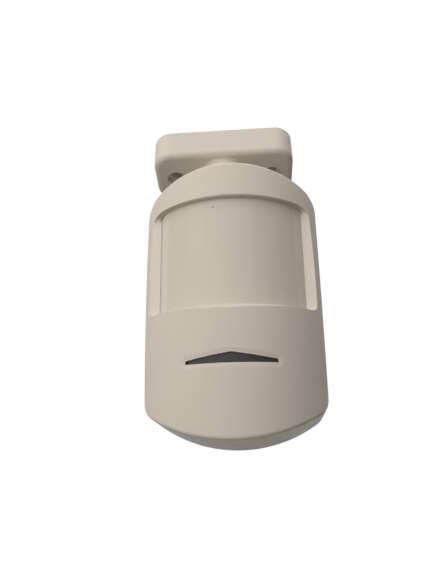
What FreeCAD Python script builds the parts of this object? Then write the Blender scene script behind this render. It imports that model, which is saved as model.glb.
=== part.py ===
import FreeCAD, Part
import math
import os
import re
import Sketcher

# Motion detector on a swivel bracket, in millimetres.
# The row frame has its origin at the middle of the bracket's ceiling face, +Z up and the detector's
# front towards -Y. The detector is drawn upright in a frame of its own, with X across, Z along its
# length from the lower end, and its back on the plane Y = 0, so that a height above the back is -Y.
# detector_place then hangs it from the ball of the bracket, leaning as it rests.

SIZES = [
    ("body_width", 62.5, "detector across its back"),
    ("body_length", 95.7, "lower end to top of the arch, at the back"),
    ("end_bow", 10.9, "how far the lower end bulges"),
    ("corner_radius", 7.6, "lower corners of the outline"),
    ("shoulder_radius", 10.0, "where the sides turn into the arch"),
    ("arch_rise", 14.8, "height of the arch above the sides"),
    ("crown_height", 43.6, "back to the front's highest point"),
    ("crown_over", 3.4, "front's radius across, beyond half the width"),
    ("crown_centre", 51.4, "highest point above the lower end"),
    ("length_radius", 327.0, "front along its length"),
    ("crown_reach", 75.0, "half angle of the drawn crown arc"),
    ("wall_draft", 2.0, "draft of the side walls, degrees"),
    ("rim_round", 1.2, "edge between the sides and the front"),
    ("cover_wall", 2.0, "wall of the cover"),
    ("rear_step", 0.6, "cover's rear edge above the back"),
    ("band_floor", 28.7, "height of the flat beside the lens"),
    ("band_bottom", 42.7, "lower edge of the window band"),
    ("band_top", 80.7, "upper edge of the window band"),
    ("band_half", 29.6, "half the width of the window band"),
    ("band_corner_high", 6.7, "upper corners of the window band"),
    ("band_corner_low", 3.4, "lower corners of the window band"),
    ("floor_round", 1.5, "hollow edge round the band's floor"),
    ("ledge_round", 2.0, "rounded edge below the window"),
    ("ledge_curve", 40.0, "curve across of that rounding, which fades out towards the sides"),
    ("brow_round", 0.7, "rounded edge above the window"),
    ("brow_curve", 36.9, "curve across of that rounding, which fades out towards the sides"),
    ("lens_radius", 32.3, "outer face of the lens"),
    ("lens_crown", 40.3, "lens's highest point above the back"),
    ("lens_thick", 0.6, "lens sheet"),
    ("lens_tuck", 1.2, "lens behind the band's edges"),
    ("lens_gap", 0.06, "clearance round the lens"),
    ("lens_lip", 0.5, "rounded corners of the cover over the lens, in front of it"),
    ("lens_corner_high", 3.2, "upper corners of the lens as seen"),
    ("lens_corner_low", 1.3, "lower corners of the lens as seen"),
    ("seat_depth", 0.5, "lens seat below the band's wall"),
    ("retainer_thick", 1.2, "frame behind the lens"),
    ("retainer_border", 3.0, "width of that frame's bars"),
    ("slot_base", 24.15, "lower edge of the indicator slot"),
    ("slot_half", 14.4, "half the width of the indicator slot"),
    ("slot_end", 1.15, "height of the slot's ends"),
    ("slot_peak", 3.25, "height of the slot at its middle"),
    ("slot_round", 0.8, "rounded edge below the slot"),
    ("slot_curve", 44.2, "curve across of that rounding, which fades out at the slot's ends"),
    ("slot_gap", 0.05, "clearance round the indicator window"),
    ("window_recess", 0.8, "indicator window below the front"),
    ("window_depth", 5.0, "depth of the indicator window"),
    ("guide_radius", 1.5, "light guide behind the window"),
    ("base_gap", 0.15, "clearance between base and cover"),
    ("base_back", 2.2, "back wall of the base"),
    ("base_rim", 1.4, "rim of the base that enters the cover"),
    ("rim_height", 8.0, "height of that rim"),
    ("board_seat", 1.4, "height of the board's posts"),
    ("board_thick", 1.6, "circuit board"),
    ("board_half", 24.0, "half the board's width"),
    ("board_bottom", 12.5, "board's lower edge"),
    ("board_drop", 11.7, "board's upper edge below the top of the arch"),
    ("board_corner", 3.0, "board's corners"),
    ("post_radius", 2.7, "posts under the board"),
    ("post_across", 19.5, "posts from the middle"),
    ("post_drop", 17.2, "upper posts below the top of the arch"),
    ("post_low", 22.0, "lower posts"),
    ("screw_radius", 1.2, "board and arm screws"),
    ("screw_gap", 0.1, "clearance of those screws"),
    ("head_radius", 2.2, "their heads"),
    ("head_height", 1.2, "their heads"),
    ("sensor_high", 62.0, "infrared sensor above the lower end"),
    ("sensor_radius", 4.1, "sensor can"),
    ("sensor_height", 4.2, "sensor can"),
    ("spacer_height", 0.8, "spacer under the sensor"),
    ("led_high", 25.8, "indicator lamp above the lower end"),
    ("led_lift", 5.0, "indicator lamp above the board"),
    ("led_radius", 1.5, "indicator lamp"),
    ("led_length", 4.6, "indicator lamp"),
    ("tamper_across", 19.5, "tamper switch from the middle"),
    ("tamper_high", 31.0, "tamper switch above the lower end"),
    ("tamper_side", 6.4, "tamper switch"),
    ("tamper_height", 4.0, "tamper switch"),
    ("plunger_radius", 1.5, "tamper plunger"),
    ("plunger_stroke", 1.2, "tamper plunger below its top place"),
    ("plunger_proud", 3.4, "tamper plunger above the switch"),
    ("tamper_gap", 0.3, "cover's finger above the plunger"),
    ("finger_radius", 1.7, "cover's finger"),
    ("terminal_pitch", 5.0, "terminal block, one way"),
    ("terminal_depth", 7.6, "terminal block along the detector"),
    ("terminal_height", 8.6, "terminal block above the board"),
    ("terminal_edge", 1.0, "terminal block above the board's edge"),
    ("terminal_well", 1.9, "terminal screw's well"),
    ("entry_width", 7.0, "cable entries"),
    ("entry_height", 4.0, "cable entries"),
    ("entry_across", 15.5, "upper cable entry from the middle"),
    ("entry_drop", 7.2, "upper cable entry below the top of the arch"),
    ("entry_low", 5.4, "lower cable entry above the lower end"),
    ("relay_across", -17.0, "relay from the middle"),
    ("relay_high", 38.0, "relay above the lower end"),
    ("relay_width", 10.0, "relay"),
    ("relay_length", 20.0, "relay"),
    ("relay_height", 10.0, "relay"),
    ("chip_high", 44.0, "microcontroller above the lower end"),
    ("chip_length", 19.3, "microcontroller"),
    ("chip_width", 6.4, "microcontroller"),
    ("chip_height", 3.3, "microcontroller"),
    ("pin_pitch", 2.54, "pins of the microcontroller and the header"),
    ("pin_width", 0.5, "those pins"),
    ("capacitor_across", 14.0, "capacitors from the middle"),
    ("capacitor_high", 41.0, "lower capacitor above the lower end"),
    ("capacitor_step", 8.0, "capacitors apart"),
    ("capacitor_radius", 3.2, "capacitors"),
    ("capacitor_height", 11.0, "capacitors"),
    ("resistor_high", 51.5, "row of resistors above the lower end"),
    ("resistor_length", 3.2, "resistors"),
    ("resistor_width", 1.6, "resistors"),
    ("resistor_height", 0.6, "resistors"),
    ("resistor_step", 3.0, "resistors apart"),
    ("header_across", -18.0, "jumper header from the middle"),
    ("header_high", 56.0, "jumper header above the lower end"),
    ("header_height", 2.5, "base of the jumper header"),
    ("header_pin", 8.5, "pins of the jumper header above the board"),
    ("arm_across", -4.2, "bracket arm from the detector's middle"),
    ("ball_rise", 15.4, "ball above the top of the arch"),
    ("ball_behind", 6.0, "ball behind the back"),
    ("ball_radius", 8.0, "ball of the arm"),
    ("stem_radius", 3.0, "stem under the ball"),
    ("foot_width", 18.0, "arm's foot"),
    ("foot_drop", 3.7, "arm's foot below the top of the arch"),
    ("foot_length", 32.0, "arm's foot"),
    ("foot_thick", 3.6, "arm's foot"),
    ("foot_corner", 4.0, "arm's foot, corners"),
    ("arm_screw_edge", 6.0, "arm screws from the foot's ends"),
    ("plate_width", 60.7, "bracket plate, left to right"),
    ("plate_depth", 26.4, "bracket plate, front to back"),
    ("plate_height", 15.0, "bracket plate, ceiling to lower face"),
    ("plate_corner", 8.0, "bracket plate's corners"),
    ("plate_draft", 1.3, "draft of the plate's sides, degrees"),
    ("plate_wall", 2.0, "side wall of the plate"),
    ("plate_floor", 2.5, "lower wall of the plate"),
    ("plate_round", 2.2, "edge round the plate's lower face"),
    ("hole_spacing", 42.0, "fixing holes"),
    ("hole_radius", 2.1, "fixing holes"),
    ("recess_radius", 3.9, "recess for a fixing screw's head"),
    ("recess_roof", 12.0, "plastic above that recess"),
    ("tube_radius", 5.4, "tube round that recess"),
    ("ball_drop", 5.7, "ball's centre below the lower face"),
    ("dome_radius", 10.8, "dome round the ball"),
    ("dome_round", 1.2, "hollow edge between that dome and the plate"),
    ("socket_gap", 0.08, "clearance round the ball"),
    ("mouth_angle", 66.0, "half angle of the dome's mouth"),
    ("ring_bottom", 3.2, "friction ring above the ball's centre"),
    ("ring_top", 8.2, "friction ring above the ball's centre"),
    ("ring_bore", 4.0, "hole in the friction ring"),
    ("cap_thick", 2.5, "socket cap"),
    ("cap_width", 9.0, "socket cap's bar"),
    ("cap_screw_across", 11.4, "cap screws from the middle"),
    ("cap_boss_height", 3.5, "bosses under the cap"),
    ("cap_boss_radius", 2.4, "bosses under the cap"),
    ("cap_screw_radius", 1.0, "cap screws"),
    ("cap_head_radius", 1.9, "their heads"),
    ("cap_head_height", 1.4, "their heads"),
    ("cap_overhang", 2.8, "bar beyond the cap screws"),
    ("rest_pan", -2.0, "detector turned on the bracket at rest"),
    ("rest_tilt", 18.7, "detector's front below level at rest"),
    ("rest_roll", 1.7, "detector leaning sideways at rest"),
]

# Sizes that follow from others.
DERIVED = {
    "crown_radius": "(body_width / 2 + crown_over)",
    "board_top": "(body_length - board_drop)",
    "post_high": "(body_length - post_drop)",
    "foot_top": "(body_length - foot_drop)",
    "foot_bottom": "(foot_top - foot_length)",
    "arm_screw_high": "(foot_top - arm_screw_edge)",
    "arm_screw_low": "(foot_bottom + arm_screw_edge)",
    "ball_high": "(body_length + ball_rise)",
}

document = FreeCAD.newDocument("motion_detector")
sheet = document.addObject("Spreadsheet::Sheet", "size")
for row, (alias, number, meaning) in enumerate(SIZES, start=1):
    sheet.set(f"A{row}", str(number))
    sheet.setAlias(f"A{row}", alias)
    sheet.set(f"B{row}", meaning)
document.recompute()

nodes = []


def formula(text):
    """The text with each size in it written as the sheet's own."""

    def written(found):
        name = found.group()
        return formula(DERIVED[name]) if name in DERIVED else f"size.{name}"

    return re.sub(r"[a-z]+(?:_[a-z]+)+", written, text)


def value(text):
    """What the text comes to with the sheet's sizes."""
    return float(sheet.evalExpression(formula(text)))


def bind(thing, name, text):
    """Ties a property of a document object to the sheet."""
    thing.setExpression(name, formula(text))


def check(thing):
    """Stops the build if a feature failed or made no valid solid."""
    document.recompute()
    failed = [item.Name for item in document.Objects if {"Invalid", "Error"} & set(item.State)]
    if failed or thing.Shape.isNull() or not thing.Shape.isValid():
        raise RuntimeError(f"{thing.Label} failed: {failed}")
    return thing


def as_node(thing, name, place):
    """Names a finished piece after its file and puts it where it belongs."""
    thing.Label = name
    thing.Placement = place
    nodes.append(thing)
    return check(thing)


def new_body(name):
    return document.addObject("PartDesign::Body", name)


def new_sketch(body, role, name, offset=("0", "0", "0")):
    """A sketch on one of the body's own planes, its origin moved by offset in the sketch's axes."""
    plane = next(item for item in body.Origin.OriginFeatures if item.Role == role)
    sketch = body.newObject("Sketcher::SketchObject", name)
    sketch.AttachmentSupport = [(plane, "")]
    sketch.MapMode = "FlatFace"
    for axis, text in zip("xyz", offset):
        if text != "0":
            bind(sketch, f"AttachmentOffset.Base.{axis}", text)
    return sketch


def constrain(sketch, *parts, size=None):
    """Adds a constraint, tied to the sheet where it has a size."""
    if size is None:
        sketch.addConstraint(Sketcher.Constraint(*parts))
        return
    index = sketch.addConstraint(Sketcher.Constraint(*parts, value(size)))
    sketch.setExpression(f"Constraints[{index}]", formula(size))


def pin(sketch, edge, end, across, along):
    """Holds one end or the centre of a sketch edge at a place."""
    for text, kind, axis in ((across, "DistanceX", -2), (along, "DistanceY", -1)):
        if text == "0":
            constrain(sketch, "PointOnObject", edge, end, axis)
        else:
            constrain(sketch, kind, -1, 1, edge, end, size=text)


def vector(across, along):
    return FreeCAD.Vector(value(across), value(along), 0)


def polygon(sketch, corners):
    """Draws a closed outline of straight edges, each corner pinned by the sheet."""
    first = len(sketch.Geometry)
    for number, corner in enumerate(corners):
        following = corners[(number + 1) % len(corners)]
        sketch.addGeometry(Part.LineSegment(vector(*corner), vector(*following)), False)
    for number in range(len(corners)):
        following = first + (number + 1) % len(corners)
        constrain(sketch, "Coincident", first + number, 2, following, 1)
    for number, corner in enumerate(corners):
        pin(sketch, first + number, 1, *corner)
    return sketch


def rectangle(sketch, left, right, bottom, top):
    return polygon(sketch, [(left, bottom), (right, bottom), (right, top), (left, top)])


def circle(sketch, across, along, radius):
    outline = Part.Circle(vector(across, along), FreeCAD.Vector(0, 0, 1), value(radius))
    edge = sketch.addGeometry(outline, False)
    pin(sketch, edge, 3, across, along)
    constrain(sketch, "Radius", edge, size=radius)
    return sketch


def feature(body, kind, sketch, **sizes):
    """A sketch-based feature whose named sizes are tied to the sheet."""
    made = body.newObject(f"PartDesign::{kind}", f"{sketch.Name}_{kind.lower()}")
    made.Profile = sketch
    for name, setting in sizes.items():
        if isinstance(setting, str):
            bind(made, name, setting)
        else:
            setattr(made, name, setting)
    body.Tip = made
    return check(made)


def cut(body, kind, sketch, **sizes):
    """A feature that has to take material away."""
    before = body.Tip.Shape.Volume
    made = feature(body, kind, sketch, **sizes)
    if made.Shape.Volume > before - 0.001:
        raise RuntimeError(f"{made.Name} cuts nothing")
    return made


def rounded(body, radius, wanted, name, kind="Fillet"):
    """Rounds or chamfers those edges of the body's last feature that the test picks."""
    base = body.Tip
    names = [f"Edge{number}" for number, edge in enumerate(base.Shape.Edges, start=1) if wanted(edge)]
    if not names:
        raise RuntimeError(f"{name} finds no edge")
    made = body.newObject(f"PartDesign::{kind}", name)
    made.Base = (base, names)
    bind(made, "Radius" if kind == "Fillet" else "Size", radius)
    body.Tip = made
    return check(made)


def runs_along(axis):
    """A test for straight edges parallel to an axis, give or take the draft of a wall."""
    directions = {
        "X": FreeCAD.Vector(1, 0, 0),
        "Y": FreeCAD.Vector(0, 1, 0),
        "Z": FreeCAD.Vector(0, 0, 1),
    }
    direction = directions[axis]
    nearly_parallel = 0.995

    def test(edge):
        if not isinstance(edge.Curve, Part.Line):
            return False
        return abs(edge.tangentAt(edge.FirstParameter).dot(direction)) > nearly_parallel

    return test


def lies_in(axis, text):
    """A test for edges that lie in the plane where the axis has this value."""
    level = value(text)
    close = 0.001

    def test(edge):
        low = getattr(edge.BoundBox, f"{axis}Min")
        high = getattr(edge.BoundBox, f"{axis}Max")
        return abs(low - level) < close and abs(high - level) < close

    return test


def boolean(kind, name, base, tools):
    """One solid from several: Cut, MultiFuse or MultiCommon."""
    made = document.addObject(f"Part::{kind}", name)
    if kind == "Cut":
        made.Base, made.Tool = base, tools
    else:
        made.Shapes = [base, *tools]
    return check(made)


def primitive(kind, name, place, **sizes):
    """A Part primitive with its sizes tied to the sheet."""
    made = document.addObject(f"Part::{kind}", name)
    for name_of_size, text in sizes.items():
        bind(made, name_of_size, text)
    made.Placement = place
    return check(made)


def spot(across, high, above, turn=None):
    """A place on the detector: across, along its length, and above its back, with Z turned to the front."""
    to_front = FreeCAD.Rotation(FreeCAD.Vector(1, 0, 0), 90)
    point = FreeCAD.Vector(value(across), -value(above), value(high))
    return FreeCAD.Placement(point, to_front if turn is None else to_front.multiply(turn))


def detector_place():
    """Hangs the detector's own frame from the ball, leaning as it rests."""
    turn = FreeCAD.Rotation(FreeCAD.Vector(0, 0, 1), value("rest_pan"))
    turn = turn.multiply(FreeCAD.Rotation(FreeCAD.Vector(1, 0, 0), value("rest_tilt")))
    turn = turn.multiply(FreeCAD.Rotation(FreeCAD.Vector(0, 1, 0), value("rest_roll")))
    ball = FreeCAD.Vector(value("arm_across"), value("ball_behind"), value("ball_high"))
    ball_in_row = FreeCAD.Vector(0, 0, value(BALL_LEVEL))
    return FreeCAD.Placement(ball_in_row - turn.multVec(ball), turn)


# The outline of the detector is a bowed lower end, two corners, two straight sides, two shoulders and
# a flat arch, all tangent. These are its dependent sizes.
HALF = "body_width / 2"
BOW = f"(({HALF}) ^ 2 + end_bow ^ 2) / (2 * end_bow)"
ARCH = f"(({HALF}) ^ 2 - body_width * shoulder_radius + arch_rise ^ 2) / (2 * (arch_rise - shoulder_radius))"
CROWN_AXIS = "crown_height - crown_radius"
LENGTH_AXIS = "length_radius - crown_height"
BOARD_FACE = "base_back + board_seat + board_thick"
BALL_LEVEL = "0 - plate_height - ball_drop"
FRONT_REACH = "crown_height + cover_wall"


def arc(centre, radius, start, end):
    """An arc about a centre, from one direction to another, anticlockwise."""
    whole = Part.Circle(centre, FreeCAD.Vector(0, 0, 1), radius)
    return Part.ArcOfCircle(whole, start, end)


def housing_outline(sketch, inset):
    """Draws the detector's outline, set in from the outer one by inset."""
    half, bow, arch = value(HALF), value(BOW), value(ARCH)
    corner, shoulder, step = value("corner_radius"), value("shoulder_radius"), value(inset)
    length, rise = value("body_length"), value("arch_rise")
    bow_centre = FreeCAD.Vector(0, bow, 0)
    arch_centre = FreeCAD.Vector(0, length - arch, 0)
    corner_high = bow - math.sqrt((bow - corner) ** 2 - (half - corner) ** 2)
    corner_right = FreeCAD.Vector(half - corner, corner_high, 0)
    corner_left = FreeCAD.Vector(corner - half, corner_high, 0)
    shoulder_right = FreeCAD.Vector(half - shoulder, length - rise, 0)
    shoulder_left = FreeCAD.Vector(shoulder - half, length - rise, 0)
    low = math.atan2(corner_right.y - bow, corner_right.x)
    high = math.atan2(shoulder_right.y - arch_centre.y, shoulder_right.x)
    side = half - step
    sketch.addGeometry(
        [
            arc(bow_centre, bow - step, -math.pi - low, low),
            arc(corner_right, corner - step, low, 0),
            Part.LineSegment(FreeCAD.Vector(side, corner_high, 0), FreeCAD.Vector(side, length - rise, 0)),
            arc(shoulder_right, shoulder - step, 0, high),
            arc(arch_centre, arch - step, high, math.pi - high),
            arc(shoulder_left, shoulder - step, math.pi - high, math.pi),
            Part.LineSegment(FreeCAD.Vector(-side, length - rise, 0), FreeCAD.Vector(-side, corner_high, 0)),
            arc(corner_left, corner - step, math.pi, -math.pi - low + 2 * math.pi),
        ],
        False,
    )
    bow_edge, corner_edge, side_edge, shoulder_edge, arch_edge, *left_edges = range(8)
    shoulder_left_edge, side_left_edge, corner_left_edge = left_edges
    for edge in range(8):
        constrain(sketch, "Tangent", edge, 2, (edge + 1) % 8, 1)
    for edge, centre, radius in ((bow_edge, BOW, BOW), (arch_edge, f"body_length - ({ARCH})", ARCH)):
        pin(sketch, edge, 3, "0", centre)
        constrain(sketch, "Radius", edge, size=f"{radius} - ({inset})")
    for edge in (corner_edge, corner_left_edge):
        constrain(sketch, "Radius", edge, size=f"corner_radius - ({inset})")
    for edge in (shoulder_edge, shoulder_left_edge):
        constrain(sketch, "Radius", edge, size=f"shoulder_radius - ({inset})")
    for edge, across in ((side_edge, f"{HALF} - ({inset})"), (side_left_edge, f"({inset}) - {HALF}")):
        constrain(sketch, "Vertical", edge)
        constrain(sketch, "DistanceX", -1, 1, edge, 1, size=across)
    return sketch


def crown_profile(sketch, inset):
    """Draws what lies in front of the front's curve across, seen from the detector's end."""
    radius = f"(crown_radius - ({inset}))"
    edge_half = f"{radius} * sin(crown_reach)"
    axis = f"0 - ({LENGTH_AXIS}) - ({CROWN_AXIS})"
    edge_level = f"{axis} - {radius} * cos(crown_reach)"
    far_level = f"{axis} - 2 * {radius}"
    wide = "body_width"
    reach = math.radians(value("crown_reach"))
    middle = vector("0", axis)
    points = [
        vector(f"0 - {wide}", far_level),
        vector(f"0 - {wide}", edge_level),
        vector(f"0 - {edge_half}", edge_level),
        vector(edge_half, edge_level),
        vector(wide, edge_level),
        vector(wide, far_level),
    ]
    down = -math.pi / 2
    sketch.addGeometry(
        [
            Part.LineSegment(points[0], points[1]),
            Part.LineSegment(points[1], points[2]),
            arc(middle, value(radius), down - reach, down + reach),
            Part.LineSegment(points[3], points[4]),
            Part.LineSegment(points[4], points[5]),
            Part.LineSegment(points[5], points[0]),
        ],
        False,
    )
    for edge in range(6):
        constrain(sketch, "Coincident", edge, 2, (edge + 1) % 6, 1)
    pin(sketch, 0, 1, f"0 - {wide}", far_level)
    pin(sketch, 1, 1, f"0 - {wide}", edge_level)
    pin(sketch, 4, 1, wide, edge_level)
    pin(sketch, 5, 1, wide, far_level)
    for edge in (1, 3):
        constrain(sketch, "Horizontal", edge)
    pin(sketch, 2, 3, "0", axis)
    constrain(sketch, "Radius", 2, size=radius)
    return sketch


def on_crown(edge):
    """A test for the edges round the front's curved face."""
    return any(edge.isSame(other) for face in crown_faces for other in face.Edges)


crown_faces = []


def housing_form(name, inset, start, edge_round=None):
    """The detector's outer form as a solid, or the same form set in for its inside."""
    body = new_body(name)
    outline = housing_outline(new_sketch(body, "XZ_Plane", f"{name}_outline", ("0", "0", start)), inset)
    feature(body, "Pad", outline, Length=f"{FRONT_REACH} - ({start})", TaperAngle="0 - wall_draft")
    profile = new_sketch(body, "XY_Plane", f"{name}_crown", ("0", LENGTH_AXIS, "crown_centre"))
    crown_profile(profile, inset)
    cut(body, "Groove", profile, ReferenceAxis=(profile, ["H_Axis"]), Angle=40.0, Midplane=True)
    if edge_round:
        crown_faces[:] = [face for face in body.Tip.Shape.Faces if isinstance(face.Surface, Part.Toroid)]
        rounded(body, edge_round, on_crown, f"{name}_rim")
    return check(body)


def crown_level(high):
    """The front's height above the back on the middle line, at a height along the detector."""
    return f"(crown_height - length_radius + sqrt(length_radius ^ 2 - (({high}) - crown_centre) ^ 2))"


def band_form(name, grow, floor, flares):
    """The space of the window band, grown on its edges, down to a floor above the back."""
    body = new_body(name)
    plate = new_sketch(body, "XZ_Plane", f"{name}_area", ("0", "0", floor))
    half = f"(band_half + ({grow}))"
    rectangle(plate, f"0 - {half}", half, f"band_bottom - ({grow})", f"band_top + ({grow})")
    feature(body, "Pad", plate, Length=f"{FRONT_REACH} - ({floor})")
    round_ends(body, name, "band_corner_high", "band_corner_low")
    if flares:
        rounded(body, "floor_round", lies_in("Y", f"0 - ({floor})"), f"{name}_floor_edge")
        flare(body, f"{name}_ledge", "band_bottom", "-", "ledge_round", "ledge_curve", "90")
        flare(body, f"{name}_brow", "band_top", "+", "brow_round", "brow_curve", "90")
    return check(body)


def round_ends(body, name, high, low):
    """Rounds a window's two upper corners and its two lower ones."""
    middle = value("(band_bottom + band_top) / 2")
    upright = runs_along("Y")
    rounded(body, high, lambda edge: upright(edge) and edge.CenterOfMass.z > middle, f"{name}_high")
    rounded(body, low, lambda edge: upright(edge) and edge.CenterOfMass.z < middle, f"{name}_low")


def flare(body, name, level, side, radius, curve, angle):
    """Adds what a rounded edge leaves out, turned about an axis behind the front's middle."""
    axis = f"{crown_level(level)} - {curve}"
    sketch = new_sketch(body, "YZ_Plane", name, (f"0 - ({axis})", "0", "0"))
    flare_profile(sketch, level, side, radius, curve)
    feature(body, "Revolution", sketch, ReferenceAxis=(sketch, ["V_Axis"]), Angle=angle, Midplane=True)


def flare_profile(sketch, level, side, radius, curve):
    """Draws the corner outside a quarter circle, between an edge's level and the front."""
    outside = f"0 - ({curve}) - {radius}"
    surface = f"0 - ({curve})"
    inside = f"{radius} - ({curve})"
    far = f"{level} {side} {radius}"
    above = side == "+"
    start, end = (math.pi, 1.5 * math.pi) if above else (0.5 * math.pi, math.pi)
    sketch.addGeometry(
        [
            Part.LineSegment(vector(inside, level), vector(outside, level)),
            Part.LineSegment(vector(outside, level), vector(outside, far)),
            Part.LineSegment(vector(outside, far), vector(surface, far)),
            arc(vector(inside, far), value(radius), start, end),
        ],
        False,
    )
    constrain(sketch, "Coincident", 0, 2, 1, 1)
    constrain(sketch, "Coincident", 1, 2, 2, 1)
    constrain(sketch, "Coincident", 2, 2, 3, 1 if above else 2)
    constrain(sketch, "Coincident", 3, 2 if above else 1, 0, 1)
    pin(sketch, 0, 1, inside, level)
    pin(sketch, 1, 1, outside, level)
    pin(sketch, 2, 1, outside, far)
    pin(sketch, 3, 3, inside, far)
    constrain(sketch, "Horizontal", 2)


def lens_segment(sketch, outer, chord):
    """Draws a segment of a circle about the lens's axis, in front of a chord above the back."""
    axis = "lens_crown - lens_radius"
    middle = vector("0", f"0 - ({axis})")
    radius, level = value(outer), value(chord) - value(axis)
    half_angle = math.acos(level / radius)
    down = -math.pi / 2
    left = FreeCAD.Vector(-radius * math.sin(half_angle), middle.y - level, 0)
    right = FreeCAD.Vector(-left.x, left.y, 0)
    sketch.addGeometry(
        [arc(middle, radius, down - half_angle, down + half_angle), Part.LineSegment(right, left)], False
    )
    constrain(sketch, "Coincident", 0, 2, 1, 1)
    constrain(sketch, "Coincident", 1, 2, 0, 1)
    constrain(sketch, "Horizontal", 1)
    pin(sketch, 0, 3, "0", f"0 - ({axis})")
    constrain(sketch, "Radius", 0, size=outer)
    constrain(sketch, "DistanceY", -1, 1, 1, 1, size=f"0 - ({chord})")
    return sketch


def lens_slice(name, outer, chord, bottom, top):
    """A solid with the lens's curve, from one height to another along the detector."""
    body = new_body(name)
    sketch = new_sketch(body, "XY_Plane", f"{name}_section", ("0", "0", bottom))
    lens_segment(sketch, outer, chord)
    feature(body, "Pad", sketch, Length=f"{top} - ({bottom})")
    return body


def chevron(body, name, grow, start, length, **sizes):
    """A pad with the indicator slot's outline, grown on all its edges."""
    sketch = new_sketch(body, "XZ_Plane", name, ("0", "0", start))
    half = f"slot_half + ({grow})"
    base = f"slot_base - ({grow})"
    end = f"slot_base + slot_end + ({grow})"
    polygon(
        sketch,
        [
            (f"0 - ({half})", base),
            (half, base),
            (half, end),
            ("0", f"slot_base + slot_peak + ({grow})"),
            (f"0 - ({half})", end),
        ],
    )
    return feature(body, "Pad", sketch, Length=length, **sizes)


SEAT_CHORD = "band_floor - cover_wall - seat_depth"
SEAT_BOTTOM = "band_bottom - lens_tuck"
SEAT_TOP = "band_top + lens_tuck"
PLUNGER_TOP = f"{BOARD_FACE} + tamper_height + plunger_proud"


def make_front_cover(place):
    """The moulded cover: a thin shell with the window band, the lens's seat and the indicator slot."""
    outer = boolean(
        "Cut",
        "cover_outside",
        housing_form("outer_form", "0", "rear_step", "rim_round"),
        band_form("window_band", "0", "band_floor", True),
    )
    inner = boolean(
        "Cut",
        "cover_inside",
        housing_form("inner_form", "cover_wall", "0"),
        band_form("band_inside", "cover_wall", "band_floor - cover_wall", False),
    )
    shell = boolean("Cut", "cover_shell", outer, inner)
    seat = lens_slice("lens_seat", "lens_radius + lens_gap", SEAT_CHORD, SEAT_BOTTOM, SEAT_TOP)
    slot = new_body("indicator_slot")
    chevron(slot, "slot_outline", "0", "crown_height / 2", FRONT_REACH)
    flare(slot, "slot_rounding", "slot_base", "-", "slot_round", "slot_curve", "60")
    opened = boolean("Cut", "cover_opened", shell, boolean("MultiFuse", "cover_openings", seat, [slot]))
    finger = primitive(
        "Cylinder",
        "tamper_finger",
        spot("tamper_across", "tamper_high", f"{PLUNGER_TOP} + tamper_gap"),
        Radius="finger_radius",
        Height=f"{CROWN_AXIS} + sqrt((crown_radius - cover_wall / 2) ^ 2 - tamper_across ^ 2)"
        f" - ({PLUNGER_TOP}) - tamper_gap - cover_wall / 2",
    )
    whole = boolean("MultiFuse", "front_cover", opened, [lens_corners(), finger])
    return as_node(whole, "front_cover", place)


def lens_corners():
    """The cover's rounded corners over the lens: a skin in front of it, with the seen window cut out."""
    bottom, top = "band_bottom - cover_wall / 2", "band_top + cover_wall / 2"
    outer = "lens_radius + lens_gap + lens_lip"
    front = lens_slice("corner_front", outer, "band_floor - cover_wall / 2", bottom, top)
    behind = lens_slice("corner_behind", "lens_radius + lens_gap", SEAT_CHORD, SEAT_BOTTOM, SEAT_TOP)
    seen = new_body("lens_seen")
    sketch = new_sketch(seen, "XZ_Plane", "lens_seen_outline", ("0", "0", "0"))
    half = f"sqrt(({outer}) ^ 2 - (band_floor - lens_crown + lens_radius) ^ 2)"
    rectangle(sketch, f"0 - {half}", half, "band_bottom", "band_top")
    feature(seen, "Pad", sketch, Length=FRONT_REACH)
    round_ends(seen, "lens_seen", "lens_corner_high", "lens_corner_low")
    return boolean("Cut", "lens_corners", front, boolean("MultiFuse", "lens_seen_tools", behind, [seen]))


def make_lens(place):
    """The milky sheet, bent to a cylinder, with its edges tucked behind the band."""
    bottom, top = f"{SEAT_BOTTOM} + lens_gap", f"{SEAT_TOP} - lens_gap"
    sheet_front = lens_slice("lens_front", "lens_radius", f"{SEAT_CHORD} + lens_gap", bottom, top)
    behind = lens_slice("lens_behind", "lens_radius - lens_thick", SEAT_CHORD, SEAT_BOTTOM, SEAT_TOP)
    return as_node(boolean("Cut", "lens", sheet_front, behind), "lens", place)


def make_lens_retainer(place):
    """The frame that holds the lens's edges from behind."""
    bottom, top = f"{SEAT_BOTTOM} + lens_gap", f"{SEAT_TOP} - lens_gap"
    outer = "lens_radius - lens_thick - lens_gap"
    front = lens_slice("retainer_front", outer, f"{SEAT_CHORD} + lens_gap", bottom, top)
    behind = lens_slice("retainer_behind", f"{outer} - retainer_thick", SEAT_CHORD, SEAT_BOTTOM, SEAT_TOP)
    opening = new_body("retainer_opening")
    sketch = new_sketch(opening, "XZ_Plane", "retainer_opening_outline", ("0", "0", "0"))
    side = "(sqrt(lens_radius ^ 2 - (band_floor - lens_crown + lens_radius) ^ 2) - retainer_border)"
    rectangle(sketch, f"0 - {side}", side, f"{bottom} + retainer_border", f"{top} - retainer_border")
    feature(opening, "Pad", sketch, Length=FRONT_REACH)
    rounded(opening, "retainer_border", runs_along("Y"), "retainer_opening_corners")
    tools = boolean("MultiFuse", "retainer_tools", behind, [opening])
    return as_node(boolean("Cut", "lens_retainer", front, tools), "lens_retainer", place)


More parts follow.
